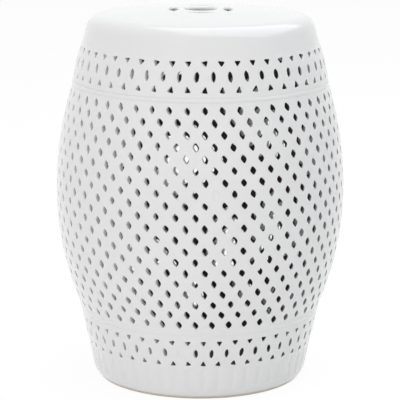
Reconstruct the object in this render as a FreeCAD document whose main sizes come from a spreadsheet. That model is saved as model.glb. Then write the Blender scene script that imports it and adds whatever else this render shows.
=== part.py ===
import FreeCAD, Part
import math
import os
from enum import IntEnum

import Sketcher

# Garden stool in white glazed stoneware, pressed and turned as eight sections that are luted together.
# Millimetres, +Z up. The origin is on the ground at the middle of the foot, and the front faces -Y.

doc = FreeCAD.newDocument("GardenStool")
sheet = doc.addObject("Spreadsheet::Sheet", "Sizes")

SIZES = [
    ("belly_diameter", 355.0, "widest part of the barrel, outside"),
    ("belly_rise", 141.5, "from the barrel's lower edge up to its widest part"),
    ("lower_curve", 370.0, "radius of the barrel's profile below the belly"),
    ("upper_curve", 440.0, "radius of the barrel's profile above the belly"),
    ("barrel_height", 274.0, "pierced barrel between its two bead rings"),
    ("wall", 6.0, "clay thickness of every upright wall"),
    ("foot_ring_height", 4.0, "bare clay standing ring"),
    ("foot_ring_draft", 3.0, "how far the standing ring draws in towards the ground"),
    ("foot_width", 12.0, "clay thickness where the foot meets its ring"),
    ("foot_height", 39.0, "fluted foot above the standing ring"),
    ("foot_draft", 5.8, "how far the foot's straight side draws in on its way down"),
    ("foot_turn_height", 10.0, "height of the foot's turned-in lower edge"),
    ("foot_turn_depth", 4.3, "how far that edge turns in"),
    ("foot_turn_curve", 18.0, "radius of that edge"),
    ("lower_band_height", 41.0, "lower pierced band"),
    ("lower_band_draft", 8.8, "how far the lower band draws in on its way down"),
    ("lower_band_swell", 0.6, "how far the lower band's face swells out"),
    ("lower_bead_height", 8.0, "low bead between the lower band and the barrel"),
    ("lower_bead_draft", 1.8, "how far that bead's lower edge draws in"),
    ("lower_bead_swell", 0.6, "how far its face swells out"),
    ("upper_bead_height", 5.5, "bead between the barrel and the upper band"),
    ("upper_bead_draft", 0.8, "how far that bead's upper edge draws in"),
    ("upper_bead_swell", 0.9, "how far its face swells out"),
    ("bead_inset", 0.7, "how far a bead's edges sit back from the walls beside it"),
    ("upper_band_height", 46.5, "upper pierced band"),
    ("upper_band_draft", 11.8, "how far the upper band draws in on its way up"),
    ("upper_band_swell", 1.3, "how far the upper band's face swells out"),
    ("cap_height", 39.0, "seat cap from its joint to the top of the crown"),
    ("cap_draft", 8.4, "how far the cap's side draws in on its way up"),
    ("crown_rise", 7.8, "how much the seat is domed"),
    ("seat_thickness", 10.0, "clay thickness of the seat"),
    ("shoulder_radius", 20.0, "rounding from the seat into the side"),
    ("handhold_diameter", 38.0, "round opening in the middle of the seat"),
    ("petal_ring", 33.0, "from the seat's middle to the middle of a petal opening"),
    ("petal_length", 38.0, "petal opening, tip to tip"),
    ("petal_width", 11.0, "petal opening at its middle"),
    ("petals", 4, "petal openings round the handhold"),
    ("columns", 48, "piercings in one turn of any row"),
    ("first_column", 2.1, "degrees from the front to the first column, about the stool's axis"),
    ("lattice_rows", 20, "staggered rows of diamonds up the barrel"),
    ("row_pitch", 13.58, "from one row of diamonds to the next"),
    ("first_row", 6.5, "lowest row of diamonds above the barrel's lower edge"),
    ("diamond_width", 7.2, "diamond from side to side"),
    ("diamond_height", 10.2, "diamond from point to point"),
    ("triangle_width", 8.4, "triangle along its level edge"),
    ("triangle_height", 7.0, "triangle from that edge to its point"),
    ("oval_width", 5.7, "pointed oval from side to side"),
    ("oval_height", 13.2, "pointed oval from point to point"),
    ("oval_flank", 6.2, "upright stretch of the oval's side"),
    ("lower_ovals", 18.0, "row of ovals above the lower band's lower edge"),
    ("lower_row_gap", 13.9, "from the lower band's ovals to the middle of its triangles"),
    ("upper_ovals", 23.8, "row of ovals above the upper band's lower edge"),
    ("upper_row_gap", 15.4, "from the upper band's ovals to the middle of its triangles"),
    ("knife_lean", 16.0, "degrees that every piercing turns to the right of straight in"),
    ("cutter_overrun", 6.0, "how far a cutter reaches past the clay on each side"),
    ("gouge_radius", 5.0, "radius of the round gouge that cuts the flutes"),
    ("flute_depth", 0.9, "depth of a flute"),
    ("flute_start", 1.5, "clay left between a flute and the band above"),
]
for row, (alias, number, meaning) in enumerate(SIZES, start=1):
    sheet.set(f"A{row}", meaning)
    sheet.set(f"B{row}", str(number))
    sheet.setAlias(f"B{row}", alias)
doc.recompute()


class Size:
    """A length with its number, to draw with, and its formula on the sheet, to bind with."""

    def __init__(self, number, formula):
        self.number = number
        self.formula = formula

    @staticmethod
    def of(value):
        return value if isinstance(value, Size) else Size(float(value), repr(value))

    def joined(self, other, sign, number):
        return Size(number, f"({self.formula} {sign} {Size.of(other).formula})")

    def __add__(self, other):
        return self.joined(other, "+", self.number + Size.of(other).number)

    def __sub__(self, other):
        return self.joined(other, "-", self.number - Size.of(other).number)

    def __mul__(self, other):
        return self.joined(other, "*", self.number * Size.of(other).number)

    def __truediv__(self, other):
        return self.joined(other, "/", self.number / Size.of(other).number)

    def root(self):
        return Size(math.sqrt(self.number), f"sqrt({self.formula})")


def size(alias):
    return Size(float(sheet.get(alias)), f"Sizes.{alias}")


class Guide(IntEnum):
    """The axes of every sketch, as its constraints number them. The first one starts at the origin."""

    LEVEL = -1
    UPRIGHT = -2


class Side(IntEnum):
    """The side of a closed outline that an arc of it bulges to."""

    IN = -1
    OUT = 1


ZERO = Size(0.0, "0")
NEAR = 1e-4
UP = FreeCAD.Vector(0, 0, 1)
QUARTER = 90.0
wall = size("wall")


def new_body(label):
    body = doc.addObject("PartDesign::Body", label)
    body.Label = label
    return body


def new_sketch(body, name, plane):
    """A sketch on one of the body's own origin planes."""
    sketch = body.newObject("Sketcher::SketchObject", name)
    support = next(f for f in body.Origin.OriginFeatures if f.Role == plane)
    sketch.AttachmentSupport = [(support, "")]
    sketch.MapMode = "FlatFace"
    return sketch


def bind(sketch, kind, *where, to):
    """One constraint of the sketch, driven by a formula on the sheet."""
    index = sketch.addConstraint(Sketcher.Constraint(kind, *where, to.number))
    name = f"{kind}{index}"
    sketch.renameConstraint(index, name)
    sketch.setExpression(f"Constraints.{name}", to.formula)


def arc_between(start, end, radius):
    """An arc from start to end that bulges to the right of the way, as arcs in a sketch run."""
    chord = end - start
    across = FreeCAD.Vector(chord.y, -chord.x, 0).normalize()
    rise = radius - math.sqrt(radius**2 - (chord.Length / 2) ** 2)
    return Part.Arc(start, start + chord / 2 + across * rise, end)


def outline(sketch, corners):
    """A closed outline. A corner is (x, y), and with a radius and a side as well, an arc leads on from it."""
    at = [FreeCAD.Vector(corner[0].number, corner[1].number, 0) for corner in corners]
    count = len(corners)
    starts = []
    for i, corner in enumerate(corners):
        start, end = at[i], at[(i + 1) % count]
        if len(corner) == 2:
            sketch.addGeometry(Part.LineSegment(start, end), False)
            starts.append(1)
        elif corner[3] == Side.OUT:
            sketch.addGeometry(arc_between(start, end, corner[2].number), False)
            starts.append(1)
        else:
            sketch.addGeometry(arc_between(end, start, corner[2].number), False)
            starts.append(2)
    for i in range(count):
        onward = (i + 1) % count
        sketch.addConstraint(
            Sketcher.Constraint("Coincident", i, 3 - starts[i], onward, starts[onward])
        )
    for i, corner in enumerate(corners):
        place(sketch, i, starts[i], corner[0], corner[1])
        if len(corner) > 2:
            bind(sketch, "Radius", i, to=corner[2])


def place(sketch, line, end, across, up):
    """Holds one end of a line at its distances from the sketch's two axes."""
    if across is ZERO:
        sketch.addConstraint(Sketcher.Constraint("PointOnObject", line, end, Guide.UPRIGHT))
    else:
        bind(sketch, "DistanceX", Guide.LEVEL, 1, line, end, to=across)
    if up is ZERO:
        sketch.addConstraint(Sketcher.Constraint("PointOnObject", line, end, Guide.LEVEL))
    else:
        bind(sketch, "DistanceY", Guide.LEVEL, 1, line, end, to=up)


def turned(label, corners):
    """A section turned on the wheel: a body whose outline goes once round the stool's axis."""
    body = new_body(label)
    sketch = new_sketch(body, f"{label}_outline", "XZ_Plane")
    outline(sketch, corners)
    turning = body.newObject("PartDesign::Revolution", f"{label}_turning")
    turning.Profile = sketch
    turning.ReferenceAxis = (sketch, ["V_Axis"])
    turning.Angle = 360
    doc.recompute()
    return body


def swell_radius(height, draft, swell):
    """The radius of an arc that swells out from a chord of that height and draft."""
    half_squared = (height * height + draft * draft) / 4
    return (half_squared + swell * swell) / (swell * 2)


# Heights: each section stands on the one below it.
foot_ring_top = size("foot_ring_height")
foot_top = foot_ring_top + size("foot_height")
lower_band_top = foot_top + size("lower_band_height")
barrel_bottom = lower_band_top + size("lower_bead_height")
belly = barrel_bottom + size("belly_rise")
barrel_top = barrel_bottom + size("barrel_height")
upper_band_bottom = barrel_top + size("upper_bead_height")
cap_bottom = upper_band_bottom + size("upper_band_height")
crown_top = cap_bottom + size("cap_height")

# Outside radii at those heights: the barrel sets them, and each draft leads on from its neighbour.
belly_radius = size("belly_diameter") / 2
lower_curve = size("lower_curve")
upper_curve = size("upper_curve")
below_belly = size("belly_rise")
above_belly = size("barrel_height") - below_belly
barrel_foot_radius = (
    belly_radius - lower_curve + (lower_curve * lower_curve - below_belly * below_belly).root()
)
barrel_head_radius = (
    belly_radius - upper_curve + (upper_curve * upper_curve - above_belly * above_belly).root()
)
lower_band_head_radius = barrel_foot_radius - size("lower_bead_draft")
lower_band_foot_radius = lower_band_head_radius - size("lower_band_draft")
foot_turn_radius = lower_band_foot_radius - size("foot_draft")
foot_ring_radius = foot_turn_radius - size("foot_turn_depth")
standing_radius = foot_ring_radius - size("foot_ring_draft")
foot_bore_radius = foot_ring_radius - size("foot_width")
upper_band_foot_radius = barrel_head_radius - size("upper_bead_draft")
cap_radius = upper_band_foot_radius - size("upper_band_draft")
shoulder_corner_radius = cap_radius - size("cap_draft")


def cutters(label, solids):
    """The cutting tools of one section, as one object of the document."""
    tools = doc.addObject("Part::Feature", label)
    tools.Label = label
    tools.Shape = Part.makeCompound(solids)
    return tools


def cut_away(label, blank, tools):
    """A section with its openings or flutes cut, which must take clay away from its blank.

    All of a section's cutters go through its blank at once, as a few thousand faces meet there.
    """
    cut = doc.addObject("Part::Feature", label)
    cut.Label = label
    cut.Shape = blank.Shape.cut(tools.Shape)
    assert cut.Shape.Volume < blank.Shape.Volume, f"{label}: nothing was cut"
    return cut


def azimuth(column, staggered):
    """Degrees round from the front. A staggered row lies half a column further on."""
    return first_column + pitch * (column + (0.5 if staggered else 0.0))


def row_of_holes(shape, radius, height, staggered):
    """Cutters for one row of piercings in a wall of that outside radius.

    The shape holds the (across, up) corners about a hole's middle, where the knife goes in.
    """
    corners = [FreeCAD.Vector(x, -radius - overrun, height + z) for x, z in shape]
    face = Part.Face(Part.makePolygon([*corners, corners[0]]))
    cutter = face.extrude(FreeCAD.Vector(0, wall.number + 2 * overrun, 0))
    cutter.rotate(FreeCAD.Vector(0, -radius, height), UP, -knife_lean)
    row = []
    for column in range(columns):
        hole = cutter.copy()
        hole.rotate(FreeCAD.Vector(), UP, azimuth(column, staggered))
        row.append(hole)
    return row


columns = int(size("columns").number)
pitch = 360.0 / columns
first_column = size("first_column").number
knife_lean = size("knife_lean").number
overrun = size("cutter_overrun").number

# Shapes of the piercings, as (across, up) from the middle of each.
half_diamond = size("diamond_width").number / 2
half_point = size("diamond_height").number / 2
diamond = [(half_diamond, 0), (0, half_point), (-half_diamond, 0), (0, -half_point)]
half_base = size("triangle_width").number / 2
third = size("triangle_height").number / 3
point_up = [(half_base, -third), (0, 2 * third), (-half_base, -third)]
point_down = [(x, -z) for x, z in point_up]
half_oval = size("oval_width").number / 2
oval_tip = size("oval_height").number / 2
half_flank = size("oval_flank").number / 2
oval = [
    (half_oval, -half_flank),
    (half_oval, half_flank),
    (0, oval_tip),
    (-half_oval, half_flank),
    (-half_oval, -half_flank),
    (0, -oval_tip),
]

# The bare clay ring that the stool stands on, wiped clean of glaze so that it doesn't stick in the kiln.
foot_ring = turned(
    "foot_ring",
    [
        (foot_bore_radius, ZERO),
        (standing_radius, ZERO),
        (foot_ring_radius, foot_ring_top),
        (foot_bore_radius, foot_ring_top),
    ],
)

# The foot leans in on its way down, turns under at its lower edge and is fluted all round.
foot_turn_top = foot_ring_top + size("foot_turn_height")
foot_blank = turned(
    "foot_blank",
    [
        (foot_bore_radius, foot_ring_top),
        (foot_ring_radius, foot_ring_top, size("foot_turn_curve"), Side.OUT),
        (foot_turn_radius, foot_turn_top),
        (lower_band_foot_radius, foot_top),
        (lower_band_foot_radius - wall, foot_top),
    ],
)


def gouge(column):
    """A round gouge laid along the foot's straight side, which runs out where the foot turns under."""
    radius = size("gouge_radius").number
    side = FreeCAD.Vector(
        foot_turn_radius.number - lower_band_foot_radius.number,
        0,
        foot_turn_top.number - foot_top.number,
    )
    outward = FreeCAD.Vector(-side.z, 0, side.x).normalize()
    start = FreeCAD.Vector(lower_band_foot_radius.number, 0, foot_top.number)
    start += side * (size("flute_start").number / side.Length)
    start += outward * (radius - size("flute_depth").number)
    length = foot_top.number - foot_ring_top.number
    tool = Part.makeCylinder(radius, length, start, side)
    tool.rotate(FreeCAD.Vector(), UP, azimuth(column, False) - QUARTER)
    return tool


fluted_foot = cut_away(
    "fluted_foot", foot_blank, cutters("gouges", [gouge(column) for column in range(columns)])
)


def fret_band(label, bottom, top, foot_radius, head_radius, swell, ovals, row_gap):
    """A gently swelling band, pierced by a row of ovals between two rows of triangles."""
    rise = top - bottom
    draft = head_radius - foot_radius
    curve = swell_radius(rise, draft, swell)
    blank = turned(
        f"{label}_blank",
        [
            (foot_radius - wall, bottom),
            (foot_radius, bottom, curve, Side.OUT),
            (head_radius, top),
            (head_radius - wall, top, curve, Side.IN),
        ],
    )
    holes = []
    for shape, up, staggered in (
        (point_up, ovals - row_gap, False),
        (oval, ovals, True),
        (point_down, ovals + row_gap, False),
    ):
        radius = foot_radius + draft * up / rise
        holes += row_of_holes(shape, radius.number, (bottom + up).number, staggered)
    return cut_away(label, blank, cutters(f"{label}_cutters", holes))


lower_fret_band = fret_band(
    "lower_fret_band",
    foot_top,
    lower_band_top,
    lower_band_foot_radius,
    lower_band_head_radius,
    size("lower_band_swell"),
    size("lower_ovals"),
    size("lower_row_gap"),
)


def bead(label, bottom, top, foot_radius, head_radius, height, draft, swell):
    """A half-round coil between two walls, set back at its edges so that a tooled line shows there."""
    inset = size("bead_inset")
    return turned(
        label,
        [
            (foot_radius - wall, bottom),
            (foot_radius - inset, bottom, swell_radius(height, draft, inset + swell), Side.OUT),
            (head_radius - inset, top),
            (head_radius - wall, top),
        ],
    )


lower_bead_ring = bead(
    "lower_bead_ring",
    lower_band_top,
    barrel_bottom,
    lower_band_head_radius,
    barrel_foot_radius,
    size("lower_bead_height"),
    size("lower_bead_draft"),
    size("lower_bead_swell"),
)

# The barrel's wall: one arc below the belly and one above it, both upright where they meet.
barrel_blank = turned(
    "barrel_blank",
    [
        (barrel_foot_radius - wall, barrel_bottom),
        (barrel_foot_radius, barrel_bottom, lower_curve, Side.OUT),
        (belly_radius, belly, upper_curve, Side.OUT),
        (barrel_head_radius, barrel_top),
        (barrel_head_radius - wall, barrel_top, upper_curve, Side.IN),
        (belly_radius - wall, belly, lower_curve, Side.IN),
    ],
)

# The lattice: every row of diamonds lies half a column round from the rows next to it, and the top row
# stands over the triangles of the band above.
lattice_rows = int(size("lattice_rows").number)
lattice_holes = []
for row in range(lattice_rows):
    height = barrel_bottom + size("first_row") + size("row_pitch") * row
    from_belly = height - belly
    curve = lower_curve if from_belly.number < 0 else upper_curve
    radius = belly_radius - curve + (curve * curve - from_belly * from_belly).root()
    staggered = (lattice_rows - 1 - row) % 2 == 1
    lattice_holes += row_of_holes(diamond, radius.number, height.number, staggered)
lattice_wall = cut_away("lattice_wall", barrel_blank, cutters("lattice_cutters", lattice_holes))

upper_bead_ring = bead(
    "upper_bead_ring",
    barrel_top,
    upper_band_bottom,
    barrel_head_radius,
    upper_band_foot_radius,
    size("upper_bead_height"),
    size("upper_bead_draft"),
    size("upper_bead_swell"),
)

upper_fret_band = fret_band(
    "upper_fret_band",
    upper_band_bottom,
    cap_bottom,
    upper_band_foot_radius,
    cap_radius,
    size("upper_band_swell"),
    size("upper_ovals"),
    size("upper_row_gap"),
)

# The seat: a shallow dome that rounds over into the side, as thick as the walls or a little more.
shoulder_height = crown_top - size("crown_rise")
crown_bottom = crown_top - size("seat_thickness")
dome_radius = (
    shoulder_corner_radius * shoulder_corner_radius + size("crown_rise") * size("crown_rise")
) / (size("crown_rise") * 2)
hollow_corner_radius = shoulder_corner_radius - wall
hollow_dome_radius = (
    hollow_corner_radius * hollow_corner_radius + size("crown_rise") * size("crown_rise")
) / (size("crown_rise") * 2)
seat_cap = turned(
    "seat_cap",
    [
        (cap_radius - wall, cap_bottom),
        (cap_radius, cap_bottom),
        (shoulder_corner_radius, shoulder_height, dome_radius, Side.OUT),
        (ZERO, crown_top),
        (ZERO, crown_bottom, hollow_dome_radius, Side.IN),
        (hollow_corner_radius, shoulder_height - size("seat_thickness")),
    ],
)


def round_edge(body, name, radius, height, rounding):
    """Rounds the circular edge of a body that has this radius and height."""
    base = body.Tip
    edges = [
        f"Edge{i}"
        for i, edge in enumerate(base.Shape.Edges, start=1)
        if abs(edge.Length - 2 * math.pi * radius.number) < NEAR
        and abs(edge.CenterOfMass.z - height.number) < NEAR
    ]
    assert edges, f"{name} found no edge to round"
    fillet = body.newObject("PartDesign::Fillet", name)
    fillet.Base = (base, edges)
    fillet.Radius = rounding.number
    fillet.setExpression("Radius", rounding.formula)
    doc.recompute()


round_edge(seat_cap, "shoulder", shoulder_corner_radius, shoulder_height, size("shoulder_radius"))
round_edge(
    seat_cap,
    "shoulder_inside",
    hollow_corner_radius,
    shoulder_height - size("seat_thickness"),
    size("shoulder_radius") - wall,
)


def cut_through(body, sketch, name):
    """Cuts a sketch's shape up through the seat, and makes sure that clay was taken away."""
    before = body.Tip.Shape.Volume
    cut = body.newObject("PartDesign::Pocket", name)
    cut.Profile = sketch
    cut.Type = "ThroughAll"
    cut.Reversed = True
    doc.recompute()
    assert cut.Shape.Volume < before, f"{name} cut nothing"
    return cut


# The handhold: a round opening in the seat's middle with petal openings round it, as on a coin pattern.
handhold = new_sketch(seat_cap, "handhold_shape", "XY_Plane")
handhold.addGeometry(Part.Circle(FreeCAD.Vector(), UP, size("handhold_diameter").number / 2), False)
handhold.addConstraint(Sketcher.Constraint("Coincident", 0, 3, Guide.LEVEL, 1))
bind(handhold, "Radius", 0, to=size("handhold_diameter") / 2)
cut_through(seat_cap, handhold, "handhold")

half_petal = size("petal_length") / 2
petal_swell = size("petal_width") / 2
petal_curve = (half_petal * half_petal + petal_swell * petal_swell) / size("petal_width")
petal = new_sketch(seat_cap, "petal_shape", "XY_Plane")
outline(
    petal,
    [
        (ZERO - half_petal, ZERO - size("petal_ring"), petal_curve, Side.OUT),
        (half_petal, ZERO - size("petal_ring"), petal_curve, Side.OUT),
    ],
)
petal_cut = cut_through(seat_cap, petal, "petal")
petal_round = seat_cap.newObject("PartDesign::PolarPattern", "petals")
petal_round.Originals = [petal_cut]
petal_round.Axis = (petal, ["N_Axis"])
petal_round.Angle = 360
petal_round.Occurrences = int(size("petals").number)
petal_round.setExpression("Occurrences", "Sizes.petals")
seat_cap.Tip = petal_round

doc.recompute()
parts = [
    foot_ring,
    fluted_foot,
    lower_fret_band,
    lower_bead_ring,
    lattice_wall,
    upper_bead_ring,
    upper_fret_band,
    seat_cap,
]
for thing in doc.Objects:
    assert not {"Invalid", "Error"} & set(thing.State), f"{thing.Label}: {thing.State}"
for part in parts:
    assert not part.Shape.isNull() and part.Shape.isValid(), f"{part.Label} is not a valid shape"
    assert len(part.Shape.Solids) == 1, f"{part.Label} is not one solid"
os.makedirs("parts", exist_ok=True)
for part in parts:
    part.Shape.exportStep(f"parts/{part.Label}.step")
    print(part.Label, round(part.Shape.Volume))
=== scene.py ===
"""A white glazed ceramic garden stool, with a pierced lattice barrel between two pierced bands."""

import logging
import math
from abc import ABC, abstractmethod
from dataclasses import dataclass, field
from enum import Enum
from random import Random
from typing import Iterable, Sequence

import bmesh
import bpy
from mathutils import Matrix, Vector


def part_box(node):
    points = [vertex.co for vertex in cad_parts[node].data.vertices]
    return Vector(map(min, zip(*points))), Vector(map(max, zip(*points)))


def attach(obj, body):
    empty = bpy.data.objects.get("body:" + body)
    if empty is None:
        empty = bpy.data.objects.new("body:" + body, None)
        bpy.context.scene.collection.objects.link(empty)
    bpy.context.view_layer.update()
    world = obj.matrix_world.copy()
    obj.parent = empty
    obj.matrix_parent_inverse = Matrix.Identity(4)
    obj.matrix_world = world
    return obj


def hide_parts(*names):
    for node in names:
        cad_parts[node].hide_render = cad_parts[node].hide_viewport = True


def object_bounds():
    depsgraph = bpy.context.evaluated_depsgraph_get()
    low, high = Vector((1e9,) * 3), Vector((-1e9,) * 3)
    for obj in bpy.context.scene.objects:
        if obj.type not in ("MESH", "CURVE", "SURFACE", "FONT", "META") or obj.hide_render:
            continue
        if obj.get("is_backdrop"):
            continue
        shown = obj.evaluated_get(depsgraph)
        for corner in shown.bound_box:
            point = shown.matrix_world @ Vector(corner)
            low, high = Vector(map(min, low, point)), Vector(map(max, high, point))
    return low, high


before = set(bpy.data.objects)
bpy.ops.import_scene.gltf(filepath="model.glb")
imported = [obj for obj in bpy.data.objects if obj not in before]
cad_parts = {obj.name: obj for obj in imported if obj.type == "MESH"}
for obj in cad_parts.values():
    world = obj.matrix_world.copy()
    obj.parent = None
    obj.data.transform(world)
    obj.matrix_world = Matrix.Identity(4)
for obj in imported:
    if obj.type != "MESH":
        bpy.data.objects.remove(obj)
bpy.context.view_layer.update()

LOG = logging.getLogger("stool")

MM = 0.001
BODY = "root"
COLUMNS = 48
PITCH = math.tau / COLUMNS
FIRST_COLUMN = math.radians(2.1)
WALL = 6.0 * MM
HOLE_POINTS = 12
STEPS = COLUMNS * 4
CRISP = math.radians(50)
NEAR = 0.02 * MM
WELD = 0.01 * MM
WHITE = (1.0, 1.0, 1.0, 1.0)

Point = tuple[float, float]
Point3 = tuple[float, float, float]
Tree = bpy.types.NodeTree
Socket = bpy.types.NodeSocket
WorkMesh = bmesh.types.BMesh
Edges = list[bmesh.types.BMEdge]


class Slot(Enum):
    """The record's two finishes."""

    GLAZE = "white_glaze"
    CLAY = "bare_clay"


class Cut(Enum):
    """The knife-cut openings, which are smaller in the lower band.

    Each has its corners as (across, up) in millimetres, counter-clockwise from outside, and how far the
    glaze fills a corner, in millimetres along its sides.
    """

    DIAMOND = (((4.1, 0.0), (0.0, 5.7), (-4.1, 0.0), (0.0, -5.7)), 2.1)
    TRIANGLE_UP = (((3.8, -2.5), (0.0, 5.2), (-3.8, -2.5)), 1.9)
    TRIANGLE_DOWN = (((-4.3, 2.3), (0.0, -4.5), (4.3, 2.3)), 2.0)
    OVAL = (((2.6, -3.0), (2.6, 3.0), (0.0, 6.4), (-2.6, 3.0), (-2.6, -3.0), (0.0, -6.4)), 1.0)
    LOW_TRIANGLE_UP = (((3.5, -2.1), (0.0, 4.2), (-3.5, -2.1)), 1.8)
    LOW_TRIANGLE_DOWN = (((-3.9, 2.1), (0.0, -4.2), (3.9, 2.1)), 1.9)
    LOW_OVAL = (((2.2, -2.6), (2.2, 2.6), (0.0, 5.5), (-2.2, 2.6), (-2.2, -2.6), (0.0, -5.5)), 1.0)

    def __init__(self, corners: tuple[Point, ...], rounding: float) -> None:
        """Turns the millimetres into metres.

        Args:
            corners: The opening's corners.
            rounding: How far the glaze fills each of them.
        """
        self.corners = [(x * MM, z * MM) for x, z in corners]
        self.rounding = rounding * MM

    @property
    def lowest(self) -> float:
        """How far the opening reaches below its middle."""
        return -min(z for _, z in self.corners)

    @property
    def highest(self) -> float:
        """How far the opening reaches above its middle."""
        return max(z for _, z in self.corners)

    @property
    def corner_steps(self) -> int:
        """Segments that round each corner, so that every opening has the same number of points."""
        return HOLE_POINTS // len(self.corners) - 1

    @property
    def is_triangle(self) -> bool:
        """Whether the opening has three corners."""
        return len(self.corners) == 3


@dataclass(frozen=True)
class Arc:
    """One stretch of the stool's outline from its foot to its head, on an arc that bulges outwards.

    Attributes:
        foot_z: Height of the foot.
        foot_r: Radius at the foot.
        head_z: Height of the head.
        head_r: Radius at the head.
        curve: Radius of the arc, or nothing for a straight line.
    """

    foot_z: float
    foot_r: float
    head_z: float
    head_r: float
    curve: float = 0.0

    def radius(self, z: float) -> float:
        """Radius of the outline at a height.

        Args:
            z: The height.

        Returns:
            The distance from the stool's axis.
        """
        rise, run = self.head_z - self.foot_z, self.head_r - self.foot_r
        if not self.curve:
            return self.foot_r + run * (z - self.foot_z) / rise
        chord = math.hypot(rise, run)
        back = math.sqrt(self.curve**2 - chord**2 / 4)
        centre_z = (self.foot_z + self.head_z) / 2 + run / chord * back
        centre_r = (self.foot_r + self.head_r) / 2 - rise / chord * back
        return centre_r + math.sqrt(self.curve**2 - (z - centre_z) ** 2)

    def points(self, steps: int) -> list[Point]:
        """Points up the arc, both ends included.

        Args:
            steps: How many stretches lie between them.

        Returns:
            Points as (radius, height).
        """
        heights = [self.foot_z + (self.head_z - self.foot_z) * k / steps for k in range(steps + 1)]
        return [(self.radius(z), z) for z in heights]


def swelling(foot_z: float, foot_r: float, head_z: float, head_r: float, swell: float) -> Arc:
    """An arc whose middle stands a given distance proud of the line between its ends.

    Args:
        foot_z: Height of the foot.
        foot_r: Radius at the foot.
        head_z: Height of the head.
        head_r: Radius at the head.
        swell: How far the middle stands out.

    Returns:
        The arc.
    """
    chord = math.hypot(head_z - foot_z, head_r - foot_r)
    return Arc(foot_z, foot_r, head_z, head_r, (chord**2 / 4 + swell**2) / (2 * swell))


def radius_on(arcs: Iterable[Arc], z: float) -> float:
    """Radius of an outline of several arcs at a height.

    Args:
        arcs: The outline's stretches from the bottom up.
        z: The height.

    Returns:
        The distance from the axis, on the stretch that holds the height.
    """
    stretches = list(arcs)
    for arc in stretches:
        if z <= arc.head_z + NEAR:
            return arc.radius(z)
    return stretches[-1].radius(z)


@dataclass(frozen=True)
class Form:
    """The stool's outline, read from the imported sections.

    A draft is how much wider or narrower the wall gets over a short section, a swell is how far a band
    bulges, and a curve is the radius of an arc.
    """

    belly_height: float = 233.5 * MM
    lower_bead_draft: float = 1.8 * MM
    upper_bead_draft: float = 0.8 * MM
    ring_draft: float = 3.0 * MM
    turn_height: float = 10.0 * MM
    turn_depth: float = 4.3 * MM
    turn_curve: float = 18.0 * MM
    lower_curve: float = 370.0 * MM
    upper_curve: float = 440.0 * MM
    lower_band_swell: float = 0.6 * MM
    upper_band_swell: float = 1.3 * MM

    def span(self, node: str) -> Point:
        """Lowest and highest z of a packed section."""
        low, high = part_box(node)
        return low.z, high.z

    def reach(self, node: str) -> float:
        """Largest radius of a packed section."""
        low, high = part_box(node)
        return (high.x - low.x) / 2

    def foot(self) -> list[Arc]:
        """The fluted foot's outline.

        Returns:
            Its turned-under edge and its straight side.
        """
        bottom, top = self.span("fluted_foot")
        edge = self.reach("foot_ring")
        turn_z, turn_r = bottom + self.turn_height, edge + self.turn_depth
        return [
            Arc(bottom, edge, turn_z, turn_r, self.turn_curve),
            Arc(turn_z, turn_r, top, self.reach("fluted_foot")),
        ]

    def lower_band(self) -> Arc:
        """The lower pierced band's outline.

        Returns:
            Its one arc.
        """
        bottom, top = self.span("lower_fret_band")
        foot_r, head_r = self.reach("fluted_foot"), self.reach("lower_fret_band")
        return swelling(bottom, foot_r, top, head_r, self.lower_band_swell)

    def barrel(self) -> list[Arc]:
        """The lattice wall's outline.

        Returns:
            Its arcs below and above the belly.
        """
        bottom, top = self.span("lattice_wall")
        belly = self.reach("lattice_wall")
        foot_r = self.reach("lower_fret_band") + self.lower_bead_draft
        head_r = self.reach("upper_fret_band") + self.upper_bead_draft
        return [
            Arc(bottom, foot_r, self.belly_height, belly, self.lower_curve),
            Arc(self.belly_height, belly, top, head_r, self.upper_curve),
        ]

    def upper_band(self) -> Arc:
        """The upper pierced band's outline.

        Returns:
            Its one arc.
        """
        bottom, top = self.span("upper_fret_band")
        foot_r, head_r = self.reach("upper_fret_band"), self.reach("seat_cap")
        return swelling(bottom, foot_r, top, head_r, self.upper_band_swell)


def remap(tree: Tree, source: Socket, span: Point, levels: Point = (0.0, 1.0)) -> Socket:
    """Adds a node that turns a span of values into a span of levels, and holds both ends.

    Args:
        tree: Node tree of the material or the world.
        source: The values.
        span: Their span.
        levels: What its two ends become.

    Returns:
        The levels.
    """
    node = tree.nodes.new("ShaderNodeMapRange")
    node.inputs["From Min"].default_value, node.inputs["From Max"].default_value = span
    node.inputs["To Min"].default_value, node.inputs["To Max"].default_value = levels
    tree.links.new(source, node.inputs["Value"])
    return node.outputs["Result"]


def combine(tree: Tree, operation: str, first: Socket, second: Socket) -> Socket:
    """Adds a node that works out one value from two.

    Args:
        tree: Node tree of the material or the world.
        operation: What is done with them.
        first: The first value.
        second: The second value.

    Returns:
        The result.
    """
    node = tree.nodes.new("ShaderNodeMath")
    node.operation = operation
    tree.links.new(first, node.inputs[0])
    tree.links.new(second, node.inputs[1])
    return node.outputs["Value"]


def shown_as(tree: Tree, lit: Socket, shown: Socket, share: float) -> Socket:
    """Shows one shader wherever it is seen, and lets another one light the rest of the scene.

    Args:
        tree: Node tree of the material or the world.
        lit: The shader that lights other surfaces.
        shown: The shader that is seen straight, mirrored in a gloss or through glass.
        share: How far it hides the first one there.

    Returns:
        The mixed shader.
    """
    rays = tree.nodes.new("ShaderNodeLightPath")
    seen = rays.outputs["Is Camera Ray"]
    for kind in ("Is Glossy Ray", "Is Transmission Ray"):
        seen = combine(tree, "MAXIMUM", seen, rays.outputs[kind])
    mix = tree.nodes.new("ShaderNodeMixShader")
    tree.links.new(remap(tree, seen, (0.0, 1.0), (0.0, share)), mix.inputs["Fac"])
    tree.links.new(lit, mix.inputs[1])
    tree.links.new(shown, mix.inputs[2])
    return mix.outputs["Shader"]


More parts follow.
